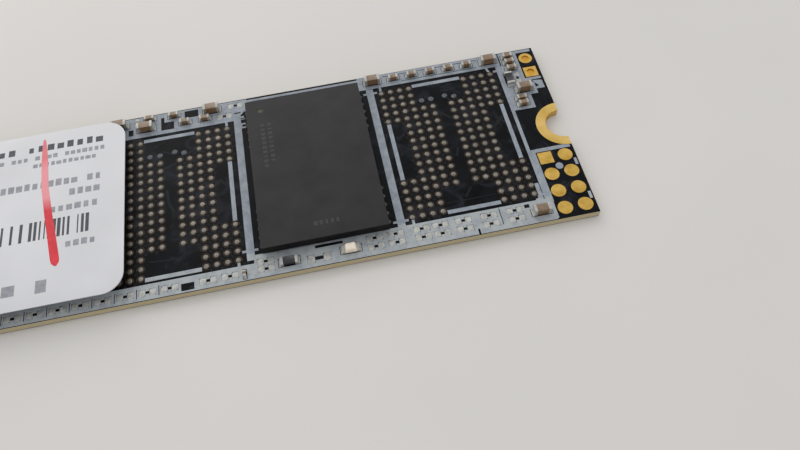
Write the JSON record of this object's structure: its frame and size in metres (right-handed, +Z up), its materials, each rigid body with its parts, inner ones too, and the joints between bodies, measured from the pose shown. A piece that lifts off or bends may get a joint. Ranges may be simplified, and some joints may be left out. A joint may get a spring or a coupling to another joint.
{
  "type": "gumstick solid state drive",
  "caption": "Narrow black circuit card with stacked-memory packages, open solder sites, a white label, a keyed contact tongue and a gold-ringed screw notch.",
  "frame": {"origin": "centre of the card's outline, on the plane of the board's underside", "axes": "+X along the card towards the screw notch, +Y across the card towards its far long edge, +Z up, out of the side that carries the chips"},
  "size_m": [0.08, 0.022, 0.0022],
  "materials": {
    "solder_mask": "black solder mask, cured over glass-fibre laminate, satin",
    "gold_plating": "thin gold plated over nickel and copper, satin",
    "print_ink": "screen-printed white ink, slightly worn and uneven",
    "solder": "reflowed tin solder, soft grey shine",
    "mould_compound": "black epoxy mould compound, fine matte grain",
    "label_film": null,
    "capacitor_ceramic": "fired brown ceramic with tinned ends",
    "ferrite": "pressed dark ferrite with tinned ends",
    "resistor_glaze": "black glazed film on white alumina, tinned ends",
    "light_resin": "cast cream resin lens on a white base",
    "crystal_lid": "seam-welded nickel alloy cover"
  },
  "bodies": {
    "root": {"circuit_board": "solder_mask", "notch_plating": "gold_plating", "edge_contacts_top": "gold_plating", "edge_contacts_bottom": "gold_plating", "board_print": "print_ink", "jumper_pad_round": "gold_plating", "jumper_pad_square": "gold_plating", "service_pad_square": "gold_plating", "service_pads_round": "gold_plating", "bare_lands_right": "solder", "bare_lands_left": "solder", "memory_outer_lands": "solder", "memory_package": "mould_compound", "memory_solder_balls": "solder", "covered_memory_package": "mould_compound", "covered_memory_solder_balls": "solder", "controller_package": "mould_compound", "controller_solder_balls": "solder", "drive_label": "label_film", "bulk_capacitor_1": "capacitor_ceramic", "bulk_capacitor_2": "capacitor_ceramic", "bulk_capacitor_3": "capacitor_ceramic", "bulk_capacitor_4": "capacitor_ceramic", "bulk_capacitor_5": "capacitor_ceramic", "bulk_capacitor_6": "capacitor_ceramic", "bulk_capacitor_7": "capacitor_ceramic", "row_capacitor_1": "capacitor_ceramic", "row_capacitor_2": "capacitor_ceramic", "row_capacitor_3": "capacitor_ceramic", "row_capacitor_4": "capacitor_ceramic", "row_capacitor_5": "capacitor_ceramic", "corner_capacitor_1": "capacitor_ceramic", "corner_capacitor_2": "capacitor_ceramic", "corner_capacitor_3": "capacitor_ceramic", "notch_capacitor_1": "capacitor_ceramic", "notch_capacitor_2": "capacitor_ceramic", "strip_capacitor_1": "capacitor_ceramic", "strip_capacitor_2": "capacitor_ceramic", "strip_capacitor_3": "capacitor_ceramic", "strip_capacitor_4": "capacitor_ceramic", "input_capacitor_1": "capacitor_ceramic", "input_capacitor_2": "capacitor_ceramic", "input_capacitor_3": "capacitor_ceramic", "power_inductor_1": "ferrite", "power_inductor_2": "ferrite", "tiny_capacitor": "capacitor_ceramic", "pull_up_resistor": "resistor_glaze", "column_resistor": "resistor_glaze", "light_base": "light_resin", "light_lens": "light_resin", "crystal_base": "mould_compound", "crystal_cover": "crystal_lid", "power_regulator": "mould_compound", "chip_solder_joints": "solder", "spare_pads_far": "solder", "spare_pads_near": "solder"}
  },
  "joints": []
}
